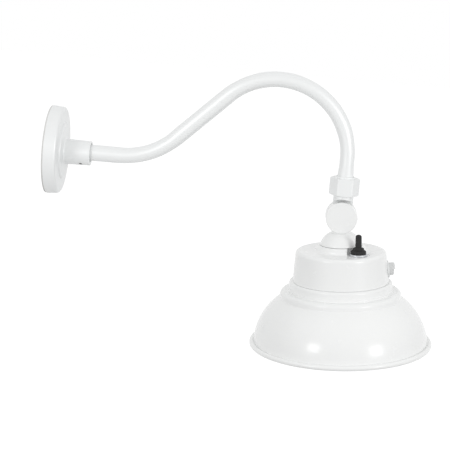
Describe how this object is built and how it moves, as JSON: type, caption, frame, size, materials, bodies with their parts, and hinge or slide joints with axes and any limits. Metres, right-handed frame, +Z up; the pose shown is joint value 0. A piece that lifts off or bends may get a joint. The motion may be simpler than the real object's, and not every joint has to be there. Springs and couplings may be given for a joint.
{
  "type": "gooseneck wall sconce",
  "caption": "Gooseneck wall light with a round wall canopy, bent tube arm, swivelling disc knuckle, booted toggle switch, photocell and a stepped dome shade.",
  "frame": {"origin": "on the wall plane, midway between the wall strap's slots, on the axis of the arm's socket", "axes": "+X out of the wall along the arm's socket, +Z up, -Y on the side of the toggle switch"},
  "size_m": [0.5522, 0.255, 0.3841],
  "materials": {
    "white_powder": "glossy white powder coat",
    "zinc_screw": "zinc plated screws",
    "zinc_steel": "zinc plated sheet and turned steel",
    "ground_green": "green passivated steel",
    "black_steel": "black oxide steel",
    "brass_ferrule": "turned brass",
    "nylon_washer": "natural nylon",
    "foam_gasket": "pale grey closed-cell foam",
    "seal_rubber": "silicone seal",
    "boot_rubber": "moulded black rubber",
    "switch_case": "black phenolic with a plated bushing",
    "switch_bat": "bright plated brass bat",
    "photocell_case": "white painted barrel and flange",
    "photocell_window": "cloudy sensor window",
    "led_board": "white solder mask on an aluminium core",
    "driver_case": "potted aluminium case",
    "frosted_lens": "frosted diffusing lens"
  },
  "bodies": {
    "arm_assembly": {"wall_gasket": "foam_gasket", "wall_strap": "zinc_steel", "ground_screw": "ground_green", "canopy": "white_powder", "canopy_screw_top": "black_steel", "canopy_screw_bottom": "black_steel", "arm_set_screw": "black_steel", "arm": "white_powder"},
    "swivel": {"compression_nut": "white_powder", "ferrule": "brass_ferrule", "upper_knuckle": "white_powder"},
    "head": {"lower_knuckle": "white_powder", "friction_washer": "nylon_washer", "pivot_bolt": "black_steel", "spring_washer": "zinc_steel", "nipple": "zinc_steel", "nipple_washer": "zinc_steel", "nipple_nut": "zinc_steel", "housing": "white_powder", "housing_gasket": "seal_rubber", "shade": "white_powder", "board_screw_1": "zinc_screw", "board_screw_2": "zinc_screw", "board_screw_3": "zinc_screw", "driver_screw_1": "zinc_screw", "driver_screw_2": "zinc_screw", "lens_screw_1": "zinc_screw", "lens_screw_2": "zinc_screw", "lens_screw_3": "zinc_screw", "lens_screw_4": "zinc_screw", "shade_screw_1": "zinc_screw", "shade_screw_2": "zinc_screw", "shade_screw_3": "zinc_screw", "shade_screw_4": "zinc_screw", "led_board": "led_board", "driver": "driver_case", "lens_gasket": "seal_rubber", "lens": "frosted_lens", "lens_ring": "white_powder", "switch_body": "switch_case", "switch_nut": "zinc_steel", "switch_washer": "zinc_steel", "boot_skirt": "boot_rubber", "photocell_body": "photocell_case", "photocell_gasket": "seal_rubber", "photocell_lens": "photocell_window", "photocell_nut": "zinc_steel"},
    "lever": {"switch_lever": "switch_bat", "boot_finger": "boot_rubber"}
  },
  "joints": [
    {"name": "head_swivel", "type": "hinge", "parent": "arm_assembly", "child": "swivel", "pos_m": [0.4095, 0, -0.018], "axis": [0, 0, 1], "range_deg": [-170, 170]},
    {"name": "head_tilt", "type": "hinge", "parent": "swivel", "child": "head", "pos_m": [0.4095, 0, -0.058], "axis": [0, -1, 0], "range_deg": [-80, 80]},
    {"name": "switch_toggle", "type": "hinge", "parent": "head", "child": "lever", "pos_m": [0.43581, -0.0328, -0.10057], "axis": [0, 1, 0], "range_deg": [-12, 12]}
  ]
}
